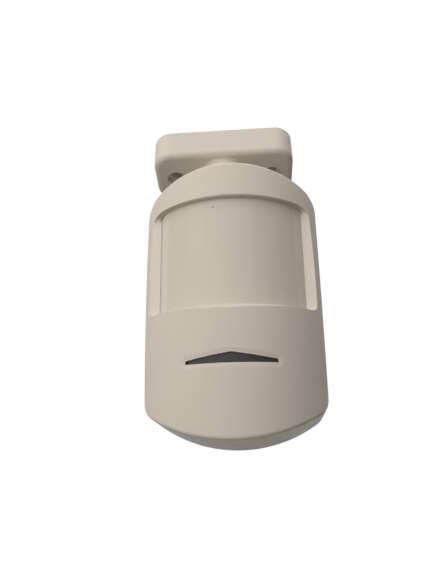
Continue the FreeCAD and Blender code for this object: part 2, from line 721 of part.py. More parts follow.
def make_led_window(place):
    """The smoked indicator window: the slot's outline under the front's curve, with a light guide."""
    body = new_body("window_prism")
    level = "crown_height - window_recess - window_depth"
    chevron(body, "window_outline", "0 - slot_gap", level, FRONT_REACH)
    under = housing_form("window_front", "window_recess", "0")
    front = boolean("MultiCommon", "window_body", body, [under])
    guide = primitive(
        "Cylinder",
        "light_guide",
        spot("0", "led_high", f"{BOARD_FACE} + led_lift + led_length + tamper_gap"),
        Radius="min(guide_radius; slot_peak / 2 - slot_gap)",
        Height=f"crown_height - window_recess - window_depth / 2 - ({BOARD_FACE}) - led_lift"
        " - led_length - tamper_gap",
    )
    return as_node(boolean("MultiFuse", "led_window", front, [guide]), "led_window", place)


def posts():
    """The four posts of the board: across, along, and whether a screw goes in."""
    return [
        (f"{side} * post_across", high, screwed)
        for side in ("-1", "1")
        for high, screwed in (("post_high", True), ("post_low", False))
    ]


def make_rear_base(place):
    """The base: a tray with a rim inside the cover, posts for the board, and closed cable entries."""
    body = new_body("rear_base")
    inset = "cover_wall + base_gap"
    outline = housing_outline(new_sketch(body, "XZ_Plane", "base_outline"), inset)
    feature(body, "Pad", outline, Length="rim_height", TaperAngle="0 - wall_draft")
    hollow = housing_outline(
        new_sketch(body, "XZ_Plane", "base_hollow", ("0", "0", "base_back")), f"{inset} + base_rim"
    )
    cut(body, "Pocket", hollow, Length="rim_height", Reversed=True, TaperAngle="0 - wall_draft")
    raised = new_sketch(body, "XZ_Plane", "base_posts", ("0", "0", "base_back / 2"))
    for across, high, _ in posts():
        circle(raised, across, high, "post_radius")
    feature(body, "Pad", raised, Length="base_back / 2 + board_seat")
    pilots = new_sketch(body, "XZ_Plane", "base_pilots", ("0", "0", "base_back + board_seat"))
    for across, high, screwed in posts():
        if screwed:
            circle(pilots, across, high, "screw_radius + screw_gap")
    cut(body, "Pocket", pilots, Length="base_back / 2 + board_seat", Reversed=False)
    through = new_sketch(body, "XZ_Plane", "arm_screw_holes", ("0", "0", "base_back"))
    for high in ("arm_screw_low", "arm_screw_high"):
        circle(through, "arm_across", high, "screw_radius + screw_gap")
    cut(body, "Pocket", through, Length="base_back + 1", Reversed=False)
    entries = new_sketch(body, "XZ_Plane", "cable_entries", ("0", "0", "base_back"))
    for middle, low in (
        ("entry_across", "body_length - entry_drop - entry_height"),
        ("0", "entry_low"),
    ):
        rectangle(
            entries,
            f"{middle} - entry_width / 2",
            f"{middle} + entry_width / 2",
            low,
            f"{low} + entry_height",
        )
    cut(body, "Pocket", entries, Length="base_back * 0.7", Reversed=False)
    return as_node(body, "rear_base", place)


def make_ball_arm(place):
    """The arm: a foot on the back of the base, and a stem that ends in the ball."""
    body = new_body("ball_arm")
    foot = new_sketch(body, "XZ_Plane", "foot_outline")
    rectangle(
        foot, "arm_across - foot_width / 2", "arm_across + foot_width / 2", "foot_bottom", "foot_top"
    )
    feature(body, "Pad", foot, Length="foot_thick", Reversed=True)
    rounded(body, "foot_corner", runs_along("Y"), "foot_corners")
    web = new_sketch(body, "YZ_Plane", "web_outline", ("0", "0", "arm_across"))
    polygon(
        web,
        [
            ("foot_thick / 2", "foot_bottom + foot_corner"),
            ("foot_thick", "foot_bottom + foot_corner"),
            ("ball_behind + stem_radius", "foot_top - foot_corner"),
            ("ball_behind + stem_radius", "foot_top + foot_corner"),
            ("ball_behind - stem_radius", "foot_top + foot_corner"),
            ("foot_thick / 2", "foot_top - foot_corner"),
        ],
    )
    feature(body, "Pad", web, Length="stem_radius * 1.6", Midplane=True)
    ball = new_sketch(body, "YZ_Plane", "ball_profile", ("ball_behind", "ball_high", "arm_across"))
    neck = math.asin(value("stem_radius / ball_radius"))
    ball_arc = arc(FreeCAD.Vector(0, 0, 0), value("ball_radius"), neck - math.pi / 2, math.pi / 2)
    stem_end = "foot_top - foot_corner - ball_high"
    neck_level = "0 - sqrt(ball_radius ^ 2 - stem_radius ^ 2)"
    ball.addGeometry(
        [
            ball_arc,
            Part.LineSegment(vector("0", "ball_radius"), vector("0", stem_end)),
            Part.LineSegment(vector("0", stem_end), vector("stem_radius", stem_end)),
            Part.LineSegment(vector("stem_radius", stem_end), vector("stem_radius", neck_level)),
        ],
        False,
    )
    constrain(ball, "Coincident", 0, 3, -1, 1)
    constrain(ball, "Radius", 0, size="ball_radius")
    constrain(ball, "Coincident", 0, 2, 1, 1)
    for edge in (1, 2):
        constrain(ball, "Coincident", edge, 2, edge + 1, 1)
    constrain(ball, "Coincident", 3, 2, 0, 1)
    constrain(ball, "PointOnObject", 1, 1, -2)
    constrain(ball, "Vertical", 1)
    constrain(ball, "Horizontal", 2)
    constrain(ball, "Vertical", 3)
    pin(ball, 3, 1, "stem_radius", stem_end)
    feature(body, "Revolution", ball, ReferenceAxis=(ball, ["V_Axis"]), Angle=360.0)
    pilots = new_sketch(body, "XZ_Plane", "arm_pilots")
    for high in ("arm_screw_low", "arm_screw_high"):
        circle(pilots, "arm_across", high, "screw_radius + screw_gap")
    cut(body, "Pocket", pilots, Length="foot_thick * 0.8", Reversed=False)
    return as_node(body, "ball_arm", place)


def screw_shape(name, place, shank, head, head_height, length):
    """A pan-head screw, its head on the plane Z = 0 of its place, with a cross recess."""
    body = primitive("Cylinder", f"{name}_shank", place_below(place, length), Radius=shank, Height=length)
    cap = primitive("Cylinder", f"{name}_head", place, Radius=head, Height=head_height)
    dome = document.addObject("Part::Chamfer", f"{name}_dome")
    dome.Base = cap
    top = max(range(len(cap.Shape.Edges)), key=lambda number: edge_height(cap, number, place))
    dome.Edges = [(top + 1, value(f"{head_height} * 0.45"), value(f"{head_height} * 0.45"))]
    check(dome)
    bars = []
    for number, angle in enumerate((0, 90)):
        turn = FreeCAD.Rotation(FreeCAD.Vector(0, 0, 1), angle)
        low = FreeCAD.Vector(
            value(f"0 - {head} * 0.6"),
            value(f"0 - {head} * 0.12"),
            value(f"{head_height} * 0.5"),
        )
        bar_place = place.multiply(FreeCAD.Placement(FreeCAD.Vector(0, 0, 0), turn))
        bar_place = bar_place.multiply(FreeCAD.Placement(low, FreeCAD.Rotation()))
        bars.append(
            primitive(
                "Box",
                f"{name}_slot_{number}",
                bar_place,
                Length=f"{head} * 1.2",
                Width=f"{head} * 0.24",
                Height=head_height,
            )
        )
    whole = boolean("MultiFuse", f"{name}_blank", body, [dome])
    return boolean("Cut", name, whole, boolean("MultiFuse", f"{name}_cross", bars[0], bars[1:]))


def place_below(place, length):
    """The place moved back along its own Z."""
    return place.multiply(FreeCAD.Placement(FreeCAD.Vector(0, 0, -value(length)), FreeCAD.Rotation()))


def edge_height(thing, number, place):
    """How far the middle of an edge lies up the Z of a place."""
    centre = thing.Shape.Edges[number].CenterOfMass
    return place.inverse().multVec(centre).z


def group(name, shapes, place):
    """Several like pieces in one node, as separate solids."""
    made = document.addObject("Part::Compound", name)
    made.Links = shapes
    return as_node(made, name, place)


def make_screws(place):
    """The two screws that hold the board, and the two that hold the arm from inside the base."""
    board = [
        screw_shape(
            f"board_screw_{number}",
            spot(across, high, BOARD_FACE),
            "screw_radius",
            "head_radius",
            "head_height",
            "board_thick + board_seat + base_back / 3",
        )
        for number, (across, high) in enumerate([post[:2] for post in posts() if post[2]])
    ]
    group("board_screws", board, place)
    arm = [
        screw_shape(
            f"arm_screw_{number}",
            spot("arm_across", high, "base_back"),
            "screw_radius",
            "head_radius",
            "head_height",
            "base_back + foot_thick * 0.7",
        )
        for number, high in enumerate(("arm_screw_low", "arm_screw_high"))
    ]
    group("arm_screws", arm, place)


def make_circuit_board(place):
    """The board, with holes for its screws."""
    body = new_body("circuit_board")
    outline = new_sketch(body, "XZ_Plane", "board_outline", ("0", "0", "base_back + board_seat"))
    rectangle(outline, "0 - board_half", "board_half", "board_bottom", "board_top")
    feature(body, "Pad", outline, Length="board_thick")
    rounded(body, "board_corner", runs_along("Y"), "board_corners")
    holes = new_sketch(body, "XZ_Plane", "board_holes", ("0", "0", BOARD_FACE))
    for across, high, screwed in posts():
        if screwed:
            circle(holes, across, high, "screw_radius + screw_gap")
    cut(body, "Pocket", holes, Length="board_thick * 2", Reversed=False)
    return as_node(body, "circuit_board", place)


def turned(name, place, corners):
    """A round piece turned from a profile of radius and height, about the Z of its place."""
    body = new_body(name)
    sketch = new_sketch(body, "XZ_Plane", f"{name}_profile")
    polygon(sketch, corners)
    feature(body, "Revolution", sketch, ReferenceAxis=(sketch, ["V_Axis"]), Angle=360.0)
    body.Placement = place
    return check(body)


def make_sensor(place):
    """The infrared sensor: a can on a spacer, with its filter window in the top."""
    seat = f"{BOARD_FACE} + spacer_height"
    can = turned(
        "sensor_can",
        spot("0", "sensor_high", seat),
        [
            ("0", "0"),
            ("sensor_radius * 1.12", "0"),
            ("sensor_radius * 1.12", "sensor_height * 0.12"),
            ("sensor_radius", "sensor_height * 0.12"),
            ("sensor_radius", "sensor_height * 0.93"),
            ("sensor_radius * 0.93", "sensor_height"),
            ("0", "sensor_height"),
        ],
    )
    window_size = {
        "Length": "sensor_radius",
        "Width": "sensor_radius * 0.8",
        "Height": "sensor_height * 0.1",
    }
    corner = FreeCAD.Placement(
        FreeCAD.Vector(
            value("0 - sensor_radius / 2"), value("0 - sensor_radius * 0.4"), value("sensor_height * 0.9")
        ),
        FreeCAD.Rotation(),
    )
    window_place = spot("0", "sensor_high", seat).multiply(corner)
    recess = primitive("Box", "window_recess_box", window_place, **window_size)
    as_node(boolean("Cut", "pir_sensor", can, recess), "pir_sensor", place)
    glass = primitive("Box", "pir_window", window_place, **window_size)
    as_node(glass, "pir_window", place.multiply(window_place))
    spacer = turned(
        "sensor_spacer",
        spot("0", "sensor_high", BOARD_FACE),
        [
            ("sensor_radius * 0.5", "0"),
            ("sensor_radius * 1.12", "0"),
            ("sensor_radius * 1.12", "spacer_height"),
            ("sensor_radius * 0.5", "spacer_height"),
        ],
    )
    as_node(spacer, "sensor_spacer", place.multiply(spot("0", "sensor_high", BOARD_FACE)))


def make_indicator_led(place):
    """The lamp behind the slot, on two leads."""
    leads = []
    for number, side in enumerate(("-1", "1")):
        leads.append(
            primitive(
                "Box",
                f"led_lead_{number}",
                spot(f"{side} * led_radius * 0.6 - 0.25", "led_high - 0.25", BOARD_FACE),
                Length="0.5",
                Width="0.5",
                Height="led_lift + led_length / 4",
            )
        )
    bulb = turned(
        "led_bulb",
        spot("0", "led_high", f"{BOARD_FACE} + led_lift"),
        [
            ("0", "0"),
            ("led_radius * 1.25", "0"),
            ("led_radius * 1.25", "led_length * 0.2"),
            ("led_radius", "led_length * 0.2"),
            ("led_radius", "led_length * 0.7"),
            ("led_radius * 0.7", "led_length * 0.93"),
            ("led_radius * 0.25", "led_length"),
            ("0", "led_length"),
        ],
    )
    as_node(boolean("MultiFuse", "indicator_led", bulb, leads), "indicator_led", place)


def make_tamper_switch(place):
    """The tamper switch, and the plunger that the cover's finger stands over."""
    body = new_body("tamper_switch")
    across, high = "tamper_across", "tamper_high"
    side = "tamper_side / 2"
    outline = new_sketch(body, "XZ_Plane", "switch_outline", ("0", "0", BOARD_FACE))
    rectangle(outline, f"{across} - {side}", f"{across} + {side}", f"{high} - {side}", f"{high} + {side}")
    feature(body, "Pad", outline, Length="tamper_height")
    top_edges = lies_in("Y", f"0 - ({BOARD_FACE}) - tamper_height")
    rounded(body, "tamper_height / 8", top_edges, "switch_top_edge")
    well = new_sketch(body, "XZ_Plane", "plunger_well", ("0", "0", f"{BOARD_FACE} + tamper_height"))
    circle(well, across, high, "plunger_radius + socket_gap")
    cut(body, "Pocket", well, Length="tamper_height * 0.8", Reversed=False)
    as_node(body, "tamper_switch", place)
    bottom = f"{BOARD_FACE} + tamper_height * 0.2 + plunger_stroke"
    top = f"({PLUNGER_TOP}) - ({bottom})"
    plunger_place = spot(across, high, bottom)
    plunger = turned(
        "tamper_plunger",
        plunger_place,
        [
            ("0", "0"),
            ("plunger_radius", "0"),
            ("plunger_radius", f"{top} - plunger_radius / 3"),
            ("plunger_radius * 0.66", top),
            ("0", top),
        ],
    )
    as_node(plunger, "tamper_plunger", place.multiply(plunger_place))


def make_terminal_block(place):
    """A row of screw terminals at the board's lower end, with a wire's mouth under each screw."""
    way_count = 6
    body = new_body("terminal_block")
    bottom = "(board_bottom + terminal_edge)"
    profile = new_sketch(body, "YZ_Plane", "terminal_profile")
    polygon(
        profile,
        [
            (f"0 - ({BOARD_FACE}) - terminal_height * {up}", f"{bottom} + terminal_depth * {along}")
            for along, up in ((0, 0), (1, 0), (1, 0.62), (0.8, 1), (0.2, 1), (0, 0.8))
        ],
    )
    feature(body, "Pad", profile, Length=f"terminal_pitch * {way_count}", Midplane=True)
    middles = [f"terminal_pitch * {number - (way_count - 1) / 2}" for number in range(way_count)]
    centre = f"{bottom} + terminal_depth / 2"
    wells = new_sketch(body, "XZ_Plane", "terminal_wells", ("0", "0", f"{BOARD_FACE} + terminal_height"))
    for middle in middles:
        circle(wells, middle, centre, "terminal_well")
    cut(body, "Pocket", wells, Length="terminal_height * 0.45")
    mouths = new_sketch(body, "XY_Plane", "terminal_mouths", ("0", "0", bottom))
    for middle in middles:
        rectangle(
            mouths,
            f"{middle} - terminal_well * 0.85",
            f"{middle} + terminal_well * 0.85",
            f"0 - ({BOARD_FACE}) - terminal_height * 0.45",
            f"0 - ({BOARD_FACE}) - terminal_height * 0.1",
        )
    cut(body, "Pocket", mouths, Length="terminal_depth * 0.6", Reversed=True)
    as_node(body, "terminal_block", place)
    screws = []
    for number, middle in enumerate(middles):
        seat = spot(middle, centre, f"{BOARD_FACE} + terminal_height * 0.55")
        head = primitive(
            "Cylinder",
            f"terminal_head_{number}",
            seat,
            Radius="terminal_well - screw_gap",
            Height="terminal_height * 0.2",
        )
        slot = primitive(
            "Box",
            f"terminal_slot_{number}",
            seat.multiply(moved("0 - terminal_well", "0 - terminal_well / 6", "terminal_height * 0.12")),
            Length="terminal_well * 2",
            Width="terminal_well / 3",
            Height="terminal_height",
        )
        screws.append(boolean("Cut", f"terminal_screw_{number}", head, slot))
    group("terminal_screws", screws, place)


def moved(across, along, up):
    """A placement that only shifts."""
    return FreeCAD.Placement(FreeCAD.Vector(value(across), value(along), value(up)), FreeCAD.Rotation())


def block(name, across, high, above, width, length, height):
    """A box on the detector, given by its middle and the height of its back."""
    place = spot(f"{across} - ({width}) / 2", f"{high} - ({length}) / 2", above)
    return primitive("Box", name, place, Length=width, Width=length, Height=height)


def softened(name, shape, radius):
    """The shape with the edges of its front face chamfered."""
    made = document.addObject("Part::Chamfer", name)
    made.Base = shape
    front = min(edge.BoundBox.YMax for edge in shape.Shape.Edges)
    close = 0.001
    made.Edges = [
        (number, value(radius), value(radius))
        for number, edge in enumerate(shape.Shape.Edges, start=1)
        if edge.BoundBox.YMax < front + close
    ]
    return check(made)


def make_board_parts(place):
    """The relay, the microcontroller, the capacitors, the resistors and the jumper."""
    case = block(
        "relay_case", "relay_across", "relay_high", BOARD_FACE, "relay_width", "relay_length", "relay_height"
    )
    as_node(softened("relay", case, "relay_height / 16"), "relay", place)

    pin_count = 7
    package = softened(
        "chip_package",
        block(
            "chip_body",
            "0",
            "chip_high",
            f"{BOARD_FACE} + chip_height * 0.15",
            "chip_length",
            "chip_width",
            "chip_height * 0.85",
        ),
        "chip_height / 8",
    )
    legs = []
    for number in range(pin_count):
        for side in ("-1", "1"):
            legs.append(
                block(
                    f"chip_leg_{len(legs)}",
                    f"pin_pitch * {number - (pin_count - 1) / 2}",
                    f"chip_high + {side} * chip_width / 2",
                    BOARD_FACE,
                    "pin_width",
                    "pin_width * 2",
                    "chip_height * 0.6",
                )
            )
    as_node(boolean("MultiFuse", "microcontroller", package, legs), "microcontroller", place)

    cans = []
    for number in range(2):
        cans.append(
            turned(
                f"capacitor_{number}",
                spot("capacitor_across", f"capacitor_high + {number} * capacitor_step", BOARD_FACE),
                [
                    ("0", "0"),
                    ("capacitor_radius", "0"),
                    ("capacitor_radius", "capacitor_height * 0.12"),
                    ("capacitor_radius * 0.92", "capacitor_height * 0.16"),
                    ("capacitor_radius", "capacitor_height * 0.2"),
                    ("capacitor_radius", "capacitor_height * 0.96"),
                    ("capacitor_radius * 0.9", "capacitor_height"),
                    ("0", "capacitor_height"),
                ],
            )
        )
    group("capacitors", cans, place)

    chip_count = 4
    row = [
        block(
            f"resistor_{number}",
            f"resistor_step * {number - (chip_count - 1) / 2}",
            "resistor_high",
            BOARD_FACE,
            "resistor_width",
            "resistor_length",
            "resistor_height",
        )
        for number in range(chip_count)
    ]
    group("resistors", row, place)

    way_count = 3
    length = f"pin_pitch * {way_count}"
    base = block(
        "header_base", "header_across", "header_high", BOARD_FACE, "pin_pitch", length, "header_height"
    )
    posts_up = [
        block(
            f"header_pin_{number}",
            "header_across",
            f"header_high + pin_pitch * {number - 1}",
            BOARD_FACE,
            "pin_width",
            "pin_width",
            "header_pin",
        )
        for number in range(way_count)
    ]
    as_node(boolean("MultiFuse", "jumper_header", base, posts_up), "jumper_header", place)
    over = f"{BOARD_FACE} + header_height + socket_gap"
    cap_middle = "header_high + pin_pitch / 2"
    cap = softened(
        "jumper_shell",
        block(
            "jumper_body",
            "header_across",
            cap_middle,
            over,
            "pin_pitch",
            "pin_pitch * 2 - socket_gap",
            "header_pin - header_height + pin_width",
        ),
        "pin_width / 2",
    )
    bores = [
        block(
            f"jumper_bore_{number}",
            "header_across",
            f"header_high + pin_pitch * {number}",
            f"{over} - pin_width",
            "pin_width + 2 * socket_gap",
            "pin_width + 2 * socket_gap",
            "header_pin - header_height + pin_width",
        )
        for number in range(2)
    ]
    as_node(
        boolean("Cut", "jumper_cap", cap, boolean("MultiFuse", "jumper_bores", bores[0], bores[1:])),
        "jumper_cap",
        place,
    )


def rounded_area(body, name, inset, level):
    """A sketch of the bracket plate's outline, set in, at a level of the row frame."""
    sketch = new_sketch(body, "XY_Plane", name, ("0", "0", level))
    half, deep = f"plate_width / 2 - ({inset})", f"plate_depth / 2 - ({inset})"
    corner = f"max(plate_corner - ({inset}); plate_corner / 4)"
    turn = value(corner)
    across, along = value(half), value(deep)
    corners = [(across - turn, along - turn), (turn - across, along - turn)]
    corners += [(turn - across, turn - along), (across - turn, turn - along)]
    edges = []
    for number, (x, y) in enumerate(corners):
        start = number * math.pi / 2
        following = corners[(number + 1) % 4]
        quarter = start + math.pi / 2
        end = FreeCAD.Vector(x + turn * math.cos(quarter), y + turn * math.sin(quarter), 0)
        far = FreeCAD.Vector(
            following[0] + turn * math.cos(start + math.pi / 2),
            following[1] + turn * math.sin(start + math.pi / 2),
            0,
        )
        edges.append(arc(FreeCAD.Vector(x, y, 0), turn, start, start + math.pi / 2))
        edges.append(Part.LineSegment(end, far))
    sketch.addGeometry(edges, False)
    for edge in range(8):
        constrain(sketch, "Tangent", edge, 2, (edge + 1) % 8, 1)
    for edge in (0, 2, 4, 6):
        constrain(sketch, "Radius", edge, size=corner)
    for edge, text in ((3, f"0 - ({half})"), (7, half)):
        constrain(sketch, "Vertical", edge)
        constrain(sketch, "DistanceX", -1, 1, edge, 1, size=text)
    for edge, text in ((1, deep), (5, f"0 - ({deep})")):
        constrain(sketch, "Horizontal", edge)
        constrain(sketch, "DistanceY", -1, 1, edge, 1, size=text)
    return sketch


def make_bracket_plate():
    """The ceiling plate: a hollow box open to the ceiling, two screw tubes, and the ball's socket."""
    body = new_body("bracket_plate")
    outline = rounded_area(body, "plate_outline", "0", "0")
    feature(body, "Pad", outline, Length="plate_height", Reversed=True, TaperAngle="0 - plate_draft")
    rounded(body, "plate_round", lies_in("Z", "0 - plate_height"), "plate_lower_edge")
    hollow = rounded_area(body, "plate_hollow", "plate_wall", "0")
    cut(body, "Pocket", hollow, Length="plate_height - plate_floor")
    floor_level = "plate_floor - plate_height"
    tubes = new_sketch(body, "XY_Plane", "screw_tubes", ("0", "0", floor_level))
    bosses = new_sketch(body, "XY_Plane", "cap_bosses", ("0", "0", floor_level))
    recesses = new_sketch(body, "XY_Plane", "head_recesses", ("0", "0", "0 - plate_height"))
    holes = new_sketch(body, "XY_Plane", "screw_holes", ("0", "0", "0"))
    for side in ("-1", "1"):
        circle(tubes, f"{side} * hole_spacing / 2", "0", "tube_radius")
        circle(bosses, f"{side} * cap_screw_across", "0", "cap_boss_radius")
        circle(recesses, f"{side} * hole_spacing / 2", "0", "recess_radius")
        circle(holes, f"{side} * hole_spacing / 2", "0", "hole_radius")
    feature(body, "Pad", tubes, Length="plate_height - plate_floor")
    feature(body, "Pad", bosses, Length="cap_boss_height")
    cut(body, "Pocket", recesses, Length="plate_height - recess_roof", Reversed=True)
    cut(body, "Pocket", holes, Length="plate_height")
    dome = new_sketch(body, "XZ_Plane", "dome_profile", ("0", BALL_LEVEL, "0"))
    dome_profile(dome)
    feature(body, "Revolution", dome, ReferenceAxis=(dome, ["V_Axis"]), Angle=360.0)
    lower_face = lies_in("Z", "0 - plate_height")
    span = value("dome_radius * 2")

    def under_dome(edge):
        return lower_face(edge) and abs(edge.CenterOfMass.x) < span / 8 and edge.BoundBox.XLength < span

    rounded(body, "dome_round", under_dome, "dome_foot")
    bore = new_sketch(body, "XZ_Plane", "socket_profile", ("0", BALL_LEVEL, "0"))
    socket_profile(bore)
    cut(body, "Groove", bore, ReferenceAxis=(bore, ["V_Axis"]), Angle=360.0)
    pilots = new_sketch(body, "XY_Plane", "cap_pilots", ("0", "0", f"{floor_level} + cap_boss_height"))
    for side in ("-1", "1"):
        circle(pilots, f"{side} * cap_screw_across", "0", "cap_screw_radius + screw_gap / 2")
    cut(body, "Pocket", pilots, Length="cap_boss_height + plate_floor * 0.4")
    return as_node(body, "bracket_plate", FreeCAD.Placement())


def dome_profile(sketch):
    """Draws the solid dome under the plate, about the ball's centre, cut off by the mouth's cone."""
    radius = "dome_radius"
    mouth = math.radians(value("mouth_angle"))
    top = "ball_drop + plate_floor / 2"
    reach = math.asin(value(top) / value(radius))
    points = [
        vector("0", top),
        FreeCAD.Vector(0, -value(radius) * math.cos(mouth), 0),
        FreeCAD.Vector(value(radius) * math.sin(mouth), -value(radius) * math.cos(mouth), 0),
        FreeCAD.Vector(value(radius) * math.cos(reach), value(top), 0),
    ]
    sketch.addGeometry(
        [
            Part.LineSegment(points[0], points[1]),
            Part.LineSegment(points[1], points[2]),
            arc(FreeCAD.Vector(0, 0, 0), value(radius), mouth - math.pi / 2, reach),
            Part.LineSegment(points[3], points[0]),
        ],
        False,
    )
    for edge in range(4):
        constrain(sketch, "Coincident", edge, 2, (edge + 1) % 4, 1)
    constrain(sketch, "PointOnObject", 0, 1, -2)
    constrain(sketch, "Vertical", 0)
    constrain(sketch, "Horizontal", 1)
    constrain(sketch, "Horizontal", 3)
    constrain(sketch, "Coincident", 2, 3, -1, 1)
    constrain(sketch, "Radius", 2, size=radius)
    constrain(sketch, "DistanceY", -1, 1, 1, 1, size=f"0 - {radius} * cos(mouth_angle)")
    constrain(sketch, "DistanceY", -1, 1, 3, 1, size=top)
    return sketch


def socket_profile(sketch):
    """Draws the ball's space: a bore from above, the round seat below it and the mouth's cone."""
    radius = "(ball_radius + socket_gap)"
    top = "ball_drop + plate_height"
    mouth = math.radians(value("mouth_angle"))
    below = "dome_radius * cos(mouth_angle) + dome_radius / 8"
    far = f"({below}) * tan(mouth_angle)"
    seat = value(radius)
    seat_end = FreeCAD.Vector(seat * math.sin(mouth), -seat * math.cos(mouth), 0)
    points = [
        vector("0", top),
        vector("0", f"0 - ({below})"),
        vector(far, f"0 - ({below})"),
        seat_end,
        FreeCAD.Vector(seat, 0, 0),
        vector(radius, top),
    ]
    sketch.addGeometry(
        [
            Part.LineSegment(points[0], points[1]),
            Part.LineSegment(points[1], points[2]),
            Part.LineSegment(points[2], points[3]),
            arc(FreeCAD.Vector(0, 0, 0), seat, mouth - math.pi / 2, 0),
            Part.LineSegment(points[4], points[5]),
            Part.LineSegment(points[5], points[0]),
        ],
        False,
    )
    for edge in range(6):
        constrain(sketch, "Coincident", edge, 2, (edge + 1) % 6, 1)
    constrain(sketch, "PointOnObject", 0, 1, -2)
    constrain(sketch, "Vertical", 0)
    pin(sketch, 1, 2, far, f"0 - ({below})")
    constrain(sketch, "Horizontal", 1)
    constrain(sketch, "Coincident", 3, 3, -1, 1)
    constrain(sketch, "Radius", 3, size=radius)
    constrain(sketch, "DistanceY", -1, 1, 3, 1, size=f"0 - {radius} * cos(mouth_angle)")
    constrain(sketch, "PointOnObject", 3, 2, -1)
    constrain(sketch, "Vertical", 4)
    constrain(sketch, "Horizontal", 5)
    constrain(sketch, "DistanceY", -1, 1, 4, 2, size=top)
    return sketch


def make_friction_ring():
    """The ring that presses on the ball from above and turns with it."""
    body = new_body("friction_ring")
    sketch = new_sketch(body, "XZ_Plane", "ring_profile", ("0", BALL_LEVEL, "0"))
    outer = "ball_radius + socket_gap / 2 - screw_gap"
    radius = "(ball_radius + socket_gap / 2)"
    low_side = f"sqrt({radius} ^ 2 - ring_bottom ^ 2)"
    high_level = f"sqrt({radius} ^ 2 - ring_bore ^ 2)"
    points = [
        vector(low_side, "ring_bottom"),
        vector(outer, "ring_bottom"),
        vector(outer, "ring_top"),
        vector("ring_bore", "ring_top"),
        vector("ring_bore", high_level),
    ]
    start = math.atan2(points[0].y, points[0].x)
    end = math.atan2(points[4].y, points[4].x)
    sketch.addGeometry(
        [Part.LineSegment(points[number], points[number + 1]) for number in range(4)]
        + [arc(FreeCAD.Vector(0, 0, 0), value(radius), start, end)],
        False,
    )
    for edge in range(3):
        constrain(sketch, "Coincident", edge, 2, edge + 1, 1)
    constrain(sketch, "Coincident", 3, 2, 4, 2)
    constrain(sketch, "Coincident", 0, 1, 4, 1)
    constrain(sketch, "Coincident", 4, 3, -1, 1)
    constrain(sketch, "Radius", 4, size=radius)
    pin(sketch, 0, 2, outer, "ring_bottom")
    constrain(sketch, "Horizontal", 0)
    pin(sketch, 2, 2, "ring_bore", "ring_top")
    constrain(sketch, "Horizontal", 2)
    constrain(sketch, "Vertical", 1)
    constrain(sketch, "Vertical", 3)
    feature(body, "Revolution", sketch, ReferenceAxis=(sketch, ["V_Axis"]), Angle=360.0)
    return as_node(body, "friction_ring", FreeCAD.Placement())


def make_socket_cap():
    """The cap over the ring, with its bar across the two bosses, and its screws."""
    body = new_body("socket_cap")
    bar_level = "plate_floor - plate_height + cap_boss_height"
    ring_level = f"{BALL_LEVEL} + ring_top + screw_gap * 2"
    bar = new_sketch(body, "XY_Plane", "cap_bar", ("0", "0", bar_level))
    reach = "(cap_screw_across + cap_overhang)"
    rectangle(bar, f"0 - {reach}", reach, "0 - cap_width / 2", "cap_width / 2")
    feature(body, "Pad", bar, Length="cap_thick")
    rounded(body, "cap_width / 3", runs_along("Z"), "cap_bar_ends")
    plug = new_sketch(body, "XY_Plane", "cap_plug", ("0", "0", ring_level))
    circle(plug, "0", "0", "ball_radius - screw_gap")
    feature(body, "Pad", plug, Length=f"{bar_level} - ({ring_level}) + cap_thick / 2")
    holes = new_sketch(body, "XY_Plane", "cap_holes", ("0", "0", f"{bar_level} + cap_thick"))
    for side in ("-1", "1"):
        circle(holes, f"{side} * cap_screw_across", "0", "cap_screw_radius + screw_gap")
    cut(body, "Pocket", holes, Length="cap_thick * 2")
    as_node(body, "socket_cap", FreeCAD.Placement())
    screws = [
        screw_shape(
            f"cap_screw_{number}",
            moved(f"{side} * cap_screw_across", "0", f"{bar_level} + cap_thick"),
            "cap_screw_radius",
            "cap_head_radius",
            "cap_head_height",
            "cap_thick + cap_boss_height + plate_floor * 0.3",
        )
        for number, side in enumerate(("-1", "1"))
    ]
    group("socket_cap_screws", screws, FreeCAD.Placement())


def main():
    make_bracket_plate()
    make_friction_ring()
    make_socket_cap()
    place = detector_place()
    make_ball_arm(place)
    make_rear_base(place)
    make_screws(place)
    make_circuit_board(place)
    make_sensor(place)
    make_indicator_led(place)
    make_tamper_switch(place)
    make_terminal_block(place)
    make_board_parts(place)
    make_front_cover(place)
    make_lens(place)
    make_lens_retainer(place)
    make_led_window(place)
    os.makedirs("parts", exist_ok=True)
    for node in nodes:
        check(node)
        node.Shape.exportStep(f"parts/{node.Label}.step")
        print(node.Label, len(node.Shape.Solids), round(node.Shape.Volume, 2))


main()
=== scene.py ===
import math

import bpy
from mathutils import Matrix, Vector

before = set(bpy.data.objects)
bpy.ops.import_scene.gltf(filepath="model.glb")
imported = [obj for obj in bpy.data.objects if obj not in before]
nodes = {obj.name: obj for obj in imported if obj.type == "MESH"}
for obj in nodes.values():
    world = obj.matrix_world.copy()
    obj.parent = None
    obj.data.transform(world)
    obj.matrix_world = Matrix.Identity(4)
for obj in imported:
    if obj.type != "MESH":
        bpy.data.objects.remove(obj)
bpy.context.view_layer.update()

scene = bpy.context.scene
MM = 0.001


def turned(axis, degrees):
    return Matrix.Rotation(math.radians(degrees), 3, axis)


# The detector's own directions at rest: across, along its length, and out of its front. The detector leans,
# and its lower end is found from the ball's centre: its place in the frame, and its place on the detector.
LEAN = turned("Z", -2.0) @ turned("X", 18.7) @ turned("Y", 1.7)
ACROSS, LONG, FRONT = LEAN @ Vector((1, 0, 0)), LEAN @ Vector((0, 0, 1)), LEAN @ Vector((0, -1, 0))
BALL = Vector((0, 0, -20.7)) * MM
BALL_ON_DETECTOR = Vector((-4.2, 6.0, 111.1)) * MM
LOWER_END = BALL - LEAN @ BALL_ON_DETECTOR

